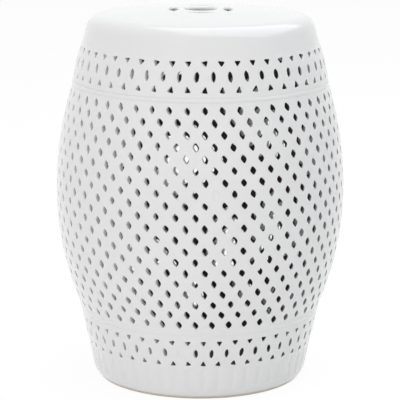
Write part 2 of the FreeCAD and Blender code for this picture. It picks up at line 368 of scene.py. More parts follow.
@dataclass(frozen=True)
class Finish:
    """A fired surface: its colours, gloss and unevenness.

    Attributes:
        name: Name of the material.
        base: Main colour.
        shade: The colour that drifts through it.
        drift: Size of the drift's clouds.
        roughness: Roughness of the surface.
        coat: Weight of the clear layer on top.
        dimple: Height of the fine unevenness.
        dimple_size: Size of one dimple.
        speck: Colour of the fine specks.
        speck_share: Share of the surface that specks take.
        speck_size: Size of the largest specks.
        speck_edge: Levels of the grain at which a speck starts and is full.
        coat_roughness: Roughness of the clear layer.
        ior: Index of refraction.
    """

    name: str
    base: Point3
    shade: Point3
    drift: float
    roughness: float
    coat: float
    dimple: float
    dimple_size: float
    speck: Point3
    speck_share: float
    speck_size: float = 1.3 * MM
    speck_edge: Point = (0.78, 0.82)
    coat_roughness: float = 0.03
    ior: float = 1.5

    def material(self) -> bpy.types.Material:
        """Builds the finish as a node material on Object coordinates.

        Returns:
            The material.
        """
        material = bpy.data.materials.new(self.name)
        material.use_nodes = True
        tree = material.node_tree
        shader = tree.nodes["Principled BSDF"]
        shader.inputs["Roughness"].default_value = self.roughness
        shader.inputs["Coat Weight"].default_value = self.coat
        shader.inputs["Coat Roughness"].default_value = self.coat_roughness
        shader.inputs["IOR"].default_value = self.ior
        place = tree.nodes.new("ShaderNodeTexCoord").outputs["Object"]
        clouds = self.noise(tree, place, self.drift, octaves=3.0)
        drifting = self.mix(tree, clouds, self.shade)
        drifting.inputs["A"].default_value = (*self.base, 1.0)
        grain = self.noise(tree, place, self.speck_size, octaves=1.0)
        start, full = self.speck_edge
        specks = remap(tree, grain, (start - self.speck_share, full - self.speck_share))
        specked = self.mix(tree, specks, self.speck)
        tree.links.new(drifting.outputs["Result"], specked.inputs["A"])
        tree.links.new(specked.outputs["Result"], shader.inputs["Base Color"])
        bump = tree.nodes.new("ShaderNodeBump")
        bump.inputs["Strength"].default_value = 1.0
        bump.inputs["Distance"].default_value = self.dimple
        tree.links.new(self.noise(tree, place, self.dimple_size, octaves=2.0), bump.inputs["Height"])
        tree.links.new(bump.outputs["Normal"], shader.inputs["Normal"])
        return material

    @staticmethod
    def noise(tree: Tree, place: Socket, size: float, octaves: float) -> Socket:
        """Adds a noise texture.

        Args:
            tree: Node tree of the material.
            place: The coordinates.
            size: Size of its largest clouds.
            octaves: How often finer clouds are added.

        Returns:
            The noise.
        """
        texture = tree.nodes.new("ShaderNodeTexNoise")
        texture.inputs["Scale"].default_value = 1 / size
        texture.inputs["Detail"].default_value = octaves
        tree.links.new(place, texture.inputs["Vector"])
        return texture.outputs["Fac"]

    @staticmethod
    def mix(tree: Tree, factor: Socket, colour: Point3) -> bpy.types.Node:
        """Adds a node that mixes a colour into another one.

        Args:
            tree: Node tree of the material.
            factor: How much of it.
            colour: The colour.

        Returns:
            The node, whose input A is still free for the other colour.
        """
        node = tree.nodes.new("ShaderNodeMix")
        node.data_type = "RGBA"
        node.inputs["B"].default_value = (*colour, 1.0)
        tree.links.new(factor, node.inputs["Factor"])
        return node


GLAZE = Finish(
    name="white glaze",
    base=(0.86, 0.862, 0.865),
    shade=(0.83, 0.828, 0.825),
    drift=60 * MM,
    roughness=0.16,
    coat=0.6,
    dimple=0.05 * MM,
    dimple_size=9 * MM,
    speck=(0.78, 0.76, 0.73),
    speck_share=0.0,
)
# Bare clay inside the hollow, darkened to near black: partly its own colour, mostly painted shade of the
# stool's inside.
INNER_CLAY_AND_PAINTED_SHADE = Finish(
    name="inner clay with painted shade",
    base=(0.20, 0.155, 0.13),
    shade=(0.14, 0.105, 0.085),
    drift=30 * MM,
    roughness=0.9,
    coat=0.0,
    dimple=0.3 * MM,
    dimple_size=2 * MM,
    speck=(0.26, 0.20, 0.16),
    speck_share=0.05,
)
BARE_CLAY = Finish(
    name="bare buff clay",
    base=(0.78, 0.72, 0.62),
    shade=(0.66, 0.60, 0.50),
    drift=12 * MM,
    roughness=0.85,
    coat=0.0,
    dimple=0.25 * MM,
    dimple_size=1.2 * MM,
    speck=(0.25, 0.17, 0.11),
    speck_share=0.08,
)


def on_wall(azimuth: float, radius: float, z: float) -> Vector:
    """A point of the wall, with azimuth 0 at the front and growing to the right."""
    return Vector((radius * math.sin(azimuth), -radius * math.cos(azimuth), z))


def off_axis(vert: bmesh.types.BMVert) -> float:
    """Distance of a point from the stool's axis."""
    return math.hypot(vert.co.x, vert.co.y)


def shell_edges(bm: WorkMesh) -> Edges:
    """Edges that only one face uses."""
    return [edge for edge in bm.edges if len(edge.link_faces) == 1]


def round_edges(bm: WorkMesh, edges: Edges, reach: float, steps: int) -> None:
    """Rounds edges over.

    Args:
        bm: The mesh.
        edges: The edges.
        reach: Size of the rounding.
        steps: Its segments.
    """
    bmesh.ops.bevel(
        bm,
        geom=edges,
        offset=reach,
        segments=steps,
        profile=0.5,
        affect="EDGES",
        material=-1,
    )


def add_other_side(bm: WorkMesh, step: Point3) -> list[bmesh.types.BMFace]:
    """Copies all faces of a flat mesh, turned over, to be the other side of its wall.

    Args:
        bm: The mesh.
        step: Where the copy lies, from the faces.

    Returns:
        The copy's faces.
    """
    copy = bmesh.ops.duplicate(bm, geom=list(bm.faces))["geom"]
    faces = [g for g in copy if isinstance(g, bmesh.types.BMFace)]
    bmesh.ops.translate(bm, vec=step, verts=[g for g in copy if isinstance(g, bmesh.types.BMVert)])
    bmesh.ops.reverse_faces(bm, faces=faces)
    return faces


@dataclass(kw_only=True)
class Section(ABC):
    """One thrown section of the stool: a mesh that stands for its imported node.

    Attributes:
        form: The stool's outline.
        node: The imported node, which also names the piece.
        slot: The finish that the record gives it.
        bm: The work mesh.
    """

    form: Form
    node: str
    slot: Slot = Slot.GLAZE
    bm: WorkMesh = field(default_factory=bmesh.new, init=False, repr=False)

    @abstractmethod
    def build(self) -> None:
        """Models the section in its work mesh."""

    def close_end(self, level: float) -> None:
        """Joins the outer and inner faces at an open end with crisp edges.

        Args:
            level: Height of the end.
        """
        loops = [e for e in shell_edges(self.bm) if abs(e.verts[0].co.z - level) < NEAR]
        bmesh.ops.bridge_loops(self.bm, edges=loops)
        for edge in loops:
            edge.smooth = False

    def dress(self, materials: Sequence[bpy.types.Material]) -> bpy.types.Object:
        """Turns the work mesh into a piece that rides on the stool and replaces its node.

        Args:
            materials: The piece's materials, by face index.

        Returns:
            The piece.
        """
        bmesh.ops.recalc_face_normals(self.bm, faces=self.bm.faces)
        for face in self.bm.faces:
            face.smooth = True
        mesh = bpy.data.meshes.new(self.node)
        self.bm.to_mesh(mesh)
        self.bm.free()
        for material in materials:
            mesh.materials.append(material)
        piece = bpy.data.objects.new(f"{self.node}_fired", mesh)
        bpy.context.scene.collection.objects.link(piece)
        weighted = piece.modifiers.new("even shading", "WEIGHTED_NORMAL")
        weighted.keep_sharp = True
        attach(piece, BODY)
        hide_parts(self.node)
        triangles = sum(len(face.vertices) - 2 for face in mesh.polygons)
        LOG.info("%s: %d triangles", piece.name, triangles)
        return piece


@dataclass(frozen=True)
class Row:
    """One row of openings round the wall.

    Attributes:
        height: Height of the openings' middles.
        cut: Their shape.
        staggered: Whether the row is half a column round from the first.
    """

    height: float
    cut: Cut
    staggered: bool


@dataclass(frozen=True)
class Cell:
    """The flat room of one opening on the wall.

    Attributes:
        radius: Radius of the wall that its width is measured on.
        low: Its lower edge, from the opening's middle.
        high: Its upper edge, from there.
    """

    radius: float
    low: float
    high: float

    @property
    def width(self) -> float:
        """Width of one column."""
        return PITCH * self.radius

    def holds(self, x: float, z: float) -> bool:
        """Whether a point lies inside the cell, off its border."""
        return abs(x) < self.width / 2 - NEAR and self.low + NEAR < z < self.high - NEAR

    def kept_off(self, z: float, web: float) -> float:
        """A height moved to lie at least a web off the cell's lower and upper edges."""
        return min(max(z, self.low + web), self.high - web)


@dataclass(kw_only=True)
class PiercedSection(Section):
    """A section whose wall is cut through by rows of openings.

    The openings' outer edges are rounded by the rim, with a plain lip beside it, and their inner edges are
    cut back by the flare. At least a web of wall is left above and below a lip. The knife leans over about a
    line at its depth in the wall. The plugged opening, given by row and column, is one that the glaze ran
    shut: at the plug's depth the glaze reaches from the edge's share of its size in to the pit's share. The
    turns, the stretch and the wander are the most that a hand turns an opening, stretches or slants it, and
    puts it off its place. All diamonds have a slant in common.
    """

    seed: int
    plugged: tuple[int, int] | None = None
    rim: float = 1.0 * MM
    rim_steps: int = 2
    lip: float = 1.1 * MM
    flare: float = 1.65 * MM
    web: float = 0.2 * MM
    knife_lean: float = math.radians(26.5)
    knife_depth: float = 1.5 * MM
    plug_depth: float = 0.6 * MM
    plug_edge: float = 0.97
    plug_pit: float = 0.02
    turn: float = math.radians(6.0)
    triangle_turn: float = math.radians(13.0)
    stretch: float = 0.09
    diamond_slant: float = -0.15
    wander: float = 0.35 * MM
    arcs: list[Arc] = field(init=False)
    rows: list[Row] = field(init=False)
    hand: Random = field(init=False, repr=False)

    def __post_init__(self) -> None:
        """Lays out the wall and its rows."""
        self.arcs = self.outline()
        self.rows = self.layout()
        self.hand = Random(self.seed)

    @abstractmethod
    def outline(self) -> list[Arc]:
        """The wall's outline, from the bottom up."""

    @abstractmethod
    def layout(self) -> list[Row]:
        """The openings' rows, from the bottom up."""

    def cell(self, index: int) -> Cell:
        """The room that each opening of a row has.

        Args:
            index: Which row, from the bottom.

        Returns:
            The cell.
        """
        row = self.rows[index]
        low, high = self.arcs[0].foot_z, self.arcs[-1].head_z
        if index > 0:
            low = self.between(self.rows[index - 1], row)
        if index < len(self.rows) - 1:
            high = self.between(row, self.rows[index + 1])
        return Cell(radius_on(self.arcs, row.height), low - row.height, high - row.height)

    @staticmethod
    def between(below: Row, above: Row) -> float:
        """Height midway between the openings of one row and those of the next."""
        return (below.height + below.cut.highest + above.height - above.cut.lowest) / 2

    def tile(self, cut: Cut, cell: Cell) -> WorkMesh:
        """Models one cell flat, with its opening cut, rimmed and walled.

        Args:
            cut: The opening.
            cell: The cell.

        Returns:
            The tile: x across, y into the clay, z up from the opening's middle.
        """
        bm = bmesh.new()
        lip = self.draw_opening(bm, cut, cell)
        border = self.draw_border(bm, cell)
        bmesh.ops.bridge_loops(bm, edges=lip + border)
        for vert in bm.verts:
            vert.co.y = 0.0
        # The wall's inner side takes material 1, bare clay with painted shade of the hollow.
        for face in add_other_side(bm, (0.0, WALL, 0.0)):
            face.material_index = 1
        openings = [e for e in shell_edges(bm) if all(cell.holds(v.co.x, v.co.z) for v in e.verts)]
        bmesh.ops.bridge_loops(bm, edges=openings)
        rim = [edge for edge in openings if edge.verts[0].co.y < WALL / 2]
        for vert in {vert for edge in openings if edge not in rim for vert in edge.verts}:
            vert.co += Vector((vert.co.x, 0.0, vert.co.z)).normalized() * self.flare
        for edge in openings:
            edge.smooth = edge in rim
        round_edges(bm, rim, self.rim, self.rim_steps)
        return bm

    def draw_opening(self, bm: WorkMesh, cut: Cut, cell: Cell) -> Edges:
        """Draws a flat opening with its lip.

        Args:
            bm: The tile's mesh, still empty.
            cut: The opening.
            cell: The cell.

        Returns:
            The lip's outer edges.
        """
        corners = [bm.verts.new((x, 0.0, z)) for x, z in cut.corners]
        bm.faces.new(corners)
        bmesh.ops.bevel(
            bm,
            geom=corners,
            offset=cut.rounding,
            segments=cut.corner_steps,
            profile=0.5,
            affect="VERTICES",
            material=-1,
        )
        hole = list(bm.edges)
        bmesh.ops.delete(bm, geom=list(bm.faces), context="FACES_ONLY")
        lip = bmesh.ops.extrude_edge_only(bm, edges=hole)["geom"]
        for vert in (g for g in lip if isinstance(g, bmesh.types.BMVert)):
            vert.co *= 1 + (self.rim + self.lip) / vert.co.length
            vert.co.z = cell.kept_off(vert.co.z, self.web)
        return [g for g in lip if isinstance(g, bmesh.types.BMEdge)]

    @staticmethod
    def draw_border(bm: WorkMesh, cell: Cell) -> Edges:
        """Draws a cell's border with as many points as its opening, held well in front of it.

        Args:
            bm: The tile's mesh.
            cell: The cell.

        Returns:
            The border's edges.
        """
        inner = set(bm.edges)
        side = cell.width / 2
        bottom_left, bottom_right, top_right, top_left = (
            bm.verts.new((x, -cell.width, z))
            for x, z in ((-side, cell.low), (side, cell.low), (side, cell.high), (-side, cell.high))
        )
        level = [bm.edges.new((bottom_left, bottom_right)), bm.edges.new((top_left, top_right))]
        upright = [bm.edges.new((bottom_left, top_left)), bm.edges.new((bottom_right, top_right))]
        bmesh.ops.subdivide_edges(bm, edges=level, cuts=3)
        bmesh.ops.subdivide_edges(bm, edges=upright, cuts=1)
        return [edge for edge in bm.edges if edge not in inner]

    def slip(self, most: float) -> float:
        """One small error of the hand, of either sign."""
        return self.hand.uniform(-1.0, 1.0) * most

    def wrap(self, tile: WorkMesh, cell: Cell, index: int, column: int) -> None:
        """Bends one flat tile on to the wall, with a hand's small errors in its opening.

        Args:
            tile: The tile, which is changed.
            cell: Its cell.
            index: Its row, from the bottom.
            column: Its column, from the first to the right.
        """
        row = self.rows[index]
        azimuth = FIRST_COLUMN + PITCH * (column + (0.5 if row.staggered else 0.0))
        skew = self.slip(self.triangle_turn if row.cut.is_triangle else self.turn)
        wide = 1 + self.slip(self.stretch)
        tall = 1 + self.slip(self.stretch)
        slant = self.slip(self.stretch) + (self.diamond_slant if row.cut is Cut.DIAMOND else 0.0)
        right, up = self.slip(self.wander), self.slip(self.wander)
        for vert in tile.verts:
            x, y, z = vert.co
            if cell.holds(x, z):
                x, z = x * wide + z * slant, z * tall
                x, z = x * math.cos(skew) - z * math.sin(skew), x * math.sin(skew) + z * math.cos(skew)
                if y > NEAR and (index, column) == self.plugged:
                    share = self.plug_edge if y < self.plug_depth else self.plug_pit
                    x, z = x * share, z * share
                    y = self.plug_depth if y < WALL / 2 else y
                x = x + right + (y - self.knife_depth) * math.tan(self.knife_lean)
                z = cell.kept_off(z + up, self.web)
            height = z + row.height
            vert.co = on_wall(azimuth + x / cell.radius, radius_on(self.arcs, height) - y, height)

    def build(self) -> None:
        """Models the whole wall from its tiles and closes its upper and lower ends."""
        buffer = bpy.data.meshes.new("tile")
        for index, row in enumerate(self.rows):
            cell = self.cell(index)
            tile = self.tile(row.cut, cell)
            for column in range(COLUMNS):
                copy = tile.copy()
                self.wrap(copy, cell, index, column)
                copy.to_mesh(buffer)
                self.bm.from_mesh(buffer)
                copy.free()
            tile.free()
        bpy.data.meshes.remove(buffer)
        bmesh.ops.remove_doubles(self.bm, verts=self.bm.verts, dist=WELD)
        self.close_end(self.arcs[0].foot_z)
        self.close_end(self.arcs[-1].head_z)


@dataclass(kw_only=True)
class FretBand(PiercedSection):
    """A pierced band: ovals between triangles that point up below and down above.

    Attributes:
        arc: The band's outline.
        cuts: The lower triangle, the oval and the upper triangle.
        oval_height: Height of the ovals' middles over the band's foot.
        triangle_gap: Distance from them to each row of triangles.
    """

    arc: Arc
    cuts: tuple[Cut, Cut, Cut]
    oval_height: float
    triangle_gap: float

    def outline(self) -> list[Arc]:
        """The band's one arc."""
        return [self.arc]

    def layout(self) -> list[Row]:
        """The band's three rows.

        Returns:
            The rows from the bottom up.
        """
        below, middle, above = self.cuts
        ovals = self.arc.foot_z + self.oval_height
        return [
            Row(ovals - self.triangle_gap, below, False),
            Row(ovals, middle, True),
            Row(ovals + self.triangle_gap, above, False),
        ]


@dataclass(kw_only=True)
class LatticeWall(PiercedSection):
    """The barrel, pierced with staggered rows of diamonds, the top one over the band's triangles.

    Attributes:
        row_count: How many rows.
        row_pitch: Height from row to row.
        first_row: Height of the lowest row over the barrel's foot.
    """

    node: str = "lattice_wall"
    seed: int = 12
    plugged: tuple[int, int] | None = (12, 0)
    row_count: int = 20
    row_pitch: float = 13.58 * MM
    first_row: float = 6.7 * MM

    def outline(self) -> list[Arc]:
        """The barrel's arcs below and above the belly."""
        return self.form.barrel()

    def layout(self) -> list[Row]:
        """The barrel's rows of diamonds.

        Returns:
            The rows from the bottom up.
        """
        first = self.arcs[0].foot_z + self.first_row
        top = self.row_count - 1
        return [
            Row(first + self.row_pitch * k, Cut.DIAMOND, (top - k) % 2 == 1)
            for k in range(self.row_count)
        ]


class TurnedSection(Section):
    """A section turned whole on the wheel from one outline."""

    def spin(self, outline: Sequence[Point], steps: int, closed: bool = True) -> None:
        """Spins an outline round the stool's axis.

        Args:
            outline: Points as (radius, height).
            steps: Steps in a full turn.
            closed: Whether the last point joins the first.
        """
        bm = self.bm
        verts = [bm.verts.new(on_wall(0.0, r, z)) for r, z in outline]
        pairs = list(zip(verts, verts[1:]))
        if closed:
            pairs.append((verts[-1], verts[0]))
        edges = [bm.edges.new(pair) for pair in pairs]
        bmesh.ops.spin(
            bm,
            geom=verts + edges,
            axis=(0, 0, 1),
            cent=(0, 0, 0),
            dvec=(0, 0, 0),
            angle=math.tau,
            steps=steps,
            use_merge=True,
            use_duplicate=False,
        )
        bmesh.ops.remove_doubles(bm, verts=bm.verts, dist=WELD)

    def crease(self) -> None:
        """Keeps the sharp turns of the outline crisp."""
        for edge in self.bm.edges:
            if edge.is_manifold and edge.calc_face_angle() > CRISP:
                edge.smooth = False


@dataclass(kw_only=True)
class FootRing(TurnedSection):
    """The bare clay ring that the stool stands on, wiped clean of glaze.

    Its lower edges are worn round, and the last three sizes are shares of their radius.
    """

    node: str = "foot_ring"
    slot: Slot = Slot.CLAY
    footing: float = 9.0 * MM
    round_over: float = 0.8 * MM
    wear: float = 0.3
    outer_wear: float = 0.2
    outer_end: float = 0.55

    def build(self) -> None:
        """Spins the ring."""
        bottom, top = self.form.span(self.node)
        edge = self.form.reach(self.node)
        standing = edge - self.form.ring_draft
        bore, soft = standing - self.footing, self.round_over
        outline = [
            (bore, bottom + soft),
            (bore + soft * self.wear, bottom + soft * self.wear),
            (bore + soft, bottom),
            (standing - soft, bottom),
            (standing - soft * self.outer_wear, bottom + soft * self.wear),
            (standing + soft * self.outer_end, bottom + soft),
            (edge, top),
            (bore, top),
        ]
        self.spin(outline, STEPS)
        self.crease()


@dataclass(kw_only=True)
class FlutedFoot(TurnedSection):
    """The foot: its edge turns under, and shallow gouged flutes run down its side.

    A flute starts a gap off the head and the foot, and deepens over a fade at each end. The two slopes are
    of lines down the middle of the wall, which tell the glazed points apart from the inner faces, which get
    bare clay with painted shade of the hollow.
    """

    node: str = "fluted_foot"
    footing: float = 12.0 * MM
    turn_steps: int = 6
    side_steps: int = 16
    flute_depth: float = 1.3 * MM
    flute_width: float = 7.0 * MM
    flute_steps: int = 8
    head_gap: float = 1.5 * MM
    head_fade: float = 4.0 * MM
    foot_gap: float = 3.0 * MM
    foot_fade: float = 9.0 * MM
    glazed_slope: float = 0.2
    clay_and_shade_slope: float = 0.3
    turn: Arc = field(init=False)
    side: Arc = field(init=False)

    def __post_init__(self) -> None:
        """Takes the foot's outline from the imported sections."""
        self.turn, self.side = self.form.foot()

    def build(self) -> None:
        """Spins the foot and presses the flutes into its side."""
        outline = self.turn.points(self.turn_steps)
        outline += self.side.points(self.side_steps)[1:]
        outline.append((self.side.head_r - WALL, self.side.head_z))
        outline.append((self.turn.foot_r - self.footing, self.turn.foot_z))
        self.spin(outline, COLUMNS * self.flute_steps)
        for vert in self.bm.verts:
            if off_axis(vert) > self.middle(vert, self.glazed_slope):
                self.press(vert)
        # Inner faces take material 1, bare clay with painted shade of the hollow.
        for face in self.bm.faces:
            if all(off_axis(vert) < self.middle(vert, self.clay_and_shade_slope) for vert in face.verts):
                face.material_index = 1
        self.crease()

    def middle(self, vert: bmesh.types.BMVert, slope: float) -> float:
        """Radius of a sloping line down the middle of the wall, at a point's height."""
        return self.side.head_r - WALL / 2 - (self.side.head_z - vert.co.z) * slope

    def press(self, vert: bmesh.types.BMVert) -> None:
        """Sinks one point of the side into the nearest flute.

        Args:
            vert: The point.
        """
        radius = off_axis(vert)
        azimuth = math.atan2(vert.co.x, -vert.co.y) - FIRST_COLUMN
        across = (azimuth / PITCH - round(azimuth / PITCH)) * PITCH * radius
        wide = max(0.0, 1 - (2 * across / self.flute_width) ** 2)
        head = min(1.0, max(0.0, (self.side.head_z - self.head_gap - vert.co.z) / self.head_fade))
        foot = min(1.0, max(0.0, (vert.co.z - self.turn.foot_z - self.foot_gap) / self.foot_fade))
        depth = self.flute_depth * wide * math.sin(head * math.pi / 2) * foot
        vert.co.xy *= (radius - depth) / radius


@dataclass(kw_only=True)
class BeadRing(TurnedSection):
    """A raised coil between two tooled lines.

    Attributes:
        foot_r: Radius of the wall below.
        head_r: Radius of the wall above.
        swell: How far the coil's middle stands proud of those walls.
        inset: Depth of the tooled lines.
        face_steps: Stretches up the coil.
    """

    foot_r: float
    head_r: float
    swell: float
    inset: float
    face_steps: int = 10

    def build(self) -> None:
        """Spins the coil with its flat inner side."""
        low, high = self.form.span(self.node)
        foot_r, head_r = self.foot_r - self.inset, self.head_r - self.inset
        face = swelling(low, foot_r, high, head_r, self.inset + self.swell)
        outline = face.points(self.face_steps)
        outline += [(self.head_r - WALL, high), (self.foot_r - WALL, low)]
        self.spin(outline, STEPS)
        middle = min(self.foot_r, self.head_r) - WALL / 2
        # Faces on the inner side take material 1, bare clay with painted shade of the hollow.
        for quad in self.bm.faces:
            quad.material_index = 1 if all(off_axis(vert) < middle for vert in quad.verts) else 0
        self.crease()


@dataclass(kw_only=True)
class SeatCap(TurnedSection):
    """The seat: a shallow dome that rounds into the side, with the pierced handhold in its middle.

    The crown is the height that the dome would reach without its handhold, and its rise is from the
    shoulder's corner as it is before rounding. The hollow's side lies inside that corner by a share of the
    wall, its ceiling ends short of the side, and the cove between them has points (in from the side, down).
    """

    node: str = "seat_cap"
    crown: float = 457.0 * MM
    crown_rise: float = 7.8 * MM
    draft: float = 8.4 * MM
    thickness: float = 10.0 * MM
    shoulder: float = 20.0 * MM
    hand_radius: float = 19.0 * MM
    petal_ring: float = 33.0 * MM
    petal_length: float = 38.0 * MM
    petal_width: float = 11.0 * MM
    petals: int = 4
    plate_radius: float = 62.0 * MM
    plate_cuts: int = 5
    petal_rim: float = 3.0 * MM
    hand_rim: float = 4.0 * MM
    rim_steps: int = 4
    side_steps: int = 4
    bend_steps: int = 12
    dome_steps: int = 8
    inner_side: float = 0.6
    ceiling_edge: float = 16.0 * MM
    cove: tuple[Point, ...] = ((6.0 * MM, 3.0 * MM), (1.5 * MM, 12.0 * MM))
    clay_and_shade_slope: float = 0.28
    bottom: float = field(init=False)
    foot_r: float = field(init=False)
    corner: Point = field(init=False)
    dome_radius: float = field(init=False)

    def __post_init__(self) -> None:
        """Takes the cap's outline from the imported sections."""
        self.bottom, _ = self.form.span(self.node)
        self.foot_r = self.form.reach(self.node)
        self.corner = (self.foot_r - self.draft, self.crown - self.crown_rise)
        self.dome_radius = (self.corner[0] ** 2 + self.crown_rise**2) / (2 * self.crown_rise)

    def dome(self, radius: float) -> float:
        """Height of the dome at a distance from the axis."""
        return self.crown - self.dome_radius + math.sqrt(self.dome_radius**2 - radius**2)

    def outer_points(self) -> list[Point]:
        """The side, the rounded shoulder and the dome down to the pierced plate.

        Returns:
            Points as (radius, height) from the cap's foot.
        """
        corner_r, corner_z = self.corner
        side = Vector((self.foot_r - corner_r, self.bottom - corner_z)).normalized()
        slope = corner_r / self.dome_radius
        top = Vector((-math.cos(math.asin(slope)), slope)).normalized()
        half = side.angle(top) / 2
        centre = Vector(self.corner) + (side + top).normalized() * (self.shoulder / math.sin(half))
        reach = self.shoulder / math.tan(half)
        low = Vector(self.corner) + side * reach
        high = Vector(self.corner) + top * reach
        first = math.atan2(low.y - centre.y, low.x - centre.x)
        last = math.atan2(high.y - centre.y, high.x - centre.x)
        run, rise = low.x - self.foot_r, low.y - self.bottom
        shares = [k / self.side_steps for k in range(self.side_steps)]
        points = [(self.foot_r + run * share, self.bottom + rise * share) for share in shares]
        for k in range(self.bend_steps + 1):
            angle = first + (last - first) * k / self.bend_steps
            across, up = self.shoulder * math.cos(angle), self.shoulder * math.sin(angle)
            points.append((centre.x + across, centre.y + up))
        for k in range(1, self.dome_steps + 1):
            radius = high.x + (self.plate_radius - high.x) * k / self.dome_steps
            points.append((radius, self.dome(radius)))
        return points

    def inner_points(self) -> list[Point]:
        """The hollow's ceiling from the pierced plate, its cove and its side.

        Returns:
            Points as (radius, height) down to the cap's foot.
        """
        side = self.corner[0] - WALL * self.inner_side
        ceiling = [self.plate_radius, side - self.ceiling_edge]
        points = [(radius, self.dome(radius) - self.thickness) for radius in ceiling]
        inside_z = self.corner[1] - self.thickness
        points += [(side - inwards, inside_z - down) for inwards, down in self.cove]
        points.append((self.foot_r - WALL, self.bottom))
        return points

    def build(self) -> None:
        """Spins the side, shoulder and dome, and sets the pierced plate into the middle."""
        self.spin(self.outer_points() + self.inner_points(), STEPS, closed=False)
        self.close_end(self.bottom)
        self.set_plate()
        # The hollow's ceiling and side take material 1, bare clay with painted shade.
        for face in self.bm.faces:
            face.material_index = 1 if self.is_inside(face.calc_center_median()) else 0

    def is_inside(self, point: Vector) -> bool:
        """Whether a point lies on the hollow's ceiling or side.

        Args:
            point: The point.

        Returns:
            True there, False on the glazed outside and in the openings.
        """
        radius = math.hypot(point.x, point.y)
        below = self.dome(min(radius, self.corner[0])) - point.z
        middle = self.foot_r - WALL / 2 - (point.z - self.bottom) * self.clay_and_shade_slope
        return radius < middle and below > self.thickness - NEAR

    def set_plate(self) -> None:
        """Sets the pierced plate round the handhold: like sectors with a petal opening in each."""
        sector = self.sector()
        buffer = bpy.data.meshes.new("sector")
        for petal in range(self.petals):
            copy = sector.copy()
            turn = Matrix.Rotation(math.tau / self.petals * petal, 3, "Z")
            bmesh.ops.rotate(copy, verts=copy.verts, cent=(0, 0, 0), matrix=turn)
            copy.to_mesh(buffer)
            self.bm.from_mesh(buffer)
            copy.free()
        sector.free()
        bpy.data.meshes.remove(buffer)
        bmesh.ops.remove_doubles(self.bm, verts=self.bm.verts, dist=WELD)
        near = self.hand_radius + NEAR
        edges = [e for e in shell_edges(self.bm) if all(off_axis(vert) < near for vert in e.verts)]
        bmesh.ops.bridge_loops(self.bm, edges=edges)
        self.round_rim(self.bm, edges, self.hand_rim)

    def round_rim(self, bm: WorkMesh, opening: Edges, reach: float) -> None:
        """Rounds an opening's upper rim, as a wet sponge and thick glaze do.

        Args:
            bm: The mesh.
            opening: Edges of the opening's upper and lower rims.
            reach: Size of the rounding.
        """
        middle = self.crown - self.thickness / 2
        upper = [edge for edge in opening if edge.verts[0].co.z > middle]
        round_edges(bm, upper, reach, self.rim_steps)

    def sector(self) -> WorkMesh:
        """Models one sector of the plate with its petal opening, raised to the dome.

        Returns:
            The sector, in its place at the front.
        """
        bm = bmesh.new()
        steps = STEPS // self.petals
        half = math.pi / self.petals
        arcs = [
            [bm.verts.new(on_wall(half * (2 * k / steps - 1), radius, 0.0)) for k in range(steps + 1)]
            for radius in (self.hand_radius, self.plate_radius)
        ]
        for arc in arcs:
            for pair in zip(arc, arc[1:]):
                bm.edges.new(pair)
        ends = [bm.edges.new((arcs[0][k], arcs[1][k])) for k in (0, -1)]
        bmesh.ops.subdivide_edges(bm, edges=ends, cuts=self.plate_cuts)
        border = list(bm.edges)
        hole = self.petal_outline(bm, len(border))
        rim = {vert for edge in hole for vert in edge.verts}
        bridged = bmesh.ops.bridge_loops(bm, edges=hole + border)
        spokes = [e for e in bridged["edges"] if len(rim & set(e.verts)) == 1]
        bmesh.ops.subdivide_edges(bm, edges=spokes, cuts=1, use_grid_fill=True)
        for vert in bm.verts:
            vert.co.z = self.dome(off_axis(vert))
        add_other_side(bm, (0.0, 0.0, -self.thickness))
        opening = [edge for edge in shell_edges(bm) if all(self.in_petal(v.co) for v in edge.verts)]
        bmesh.ops.bridge_loops(bm, edges=opening)
        self.round_rim(bm, opening, self.petal_rim)
        return bm

    def in_petal(self, point: Vector) -> bool:
        """Whether a point of the front sector lies on its petal opening's outline or inside it."""
        within = abs(point.x) <= self.petal_length / 2 + NEAR
        return within and abs(point.y + self.petal_ring) <= self.petal_width / 2 + NEAR

    def petal_outline(self, bm: WorkMesh, count: int) -> Edges:
        """Draws the front petal opening, a pointed oval, held well over the plate for bridging.

        Args:
            bm: The sector's mesh.
            count: Points of the outline.

        Returns:
            The outline's edges.
        """
        half, bow = self.petal_length / 2, self.petal_width / 2
        curve = (half**2 + bow**2) / (2 * bow)
        verts = []
        for k in range(count):
            turn = math.tau * k / count
            x = half * math.cos(turn)
            y = math.copysign(math.sqrt(curve**2 - x**2) - (curve - bow), math.sin(turn))
            verts.append(bm.verts.new((x, y - self.petal_ring, self.plate_radius)))
        return [bm.edges.new((verts[k - 1], verts[k])) for k in range(count)]


@dataclass(frozen=True)
class Lamp:
    """One soft square lamp.

    Attributes:
        name: Name of the lamp.
        place: Where it hangs.
        aim: What it points at.
        size: Side of its square.
        watts: Its power.
        tint: Its colour.
        mirrored: Whether the glaze shows its image.
    """

    name: str
    place: Point3
    aim: Point3
    size: float
    watts: float
    tint: Point3
    mirrored: bool

    def hang(self) -> None:
        """Hangs the lamp."""
        data = bpy.data.lights.new(self.name, "AREA")
        data.shape = "SQUARE"
        data.size = self.size
        data.energy = self.watts
        data.color = self.tint
        lamp = bpy.data.objects.new(self.name, data)
        lamp.location = self.place
        lamp.visible_glossy = self.mirrored
        lamp.rotation_euler = (Vector(self.aim) - Vector(self.place)).to_track_quat("-Z", "Y").to_euler()
        bpy.context.scene.collection.objects.link(lamp)


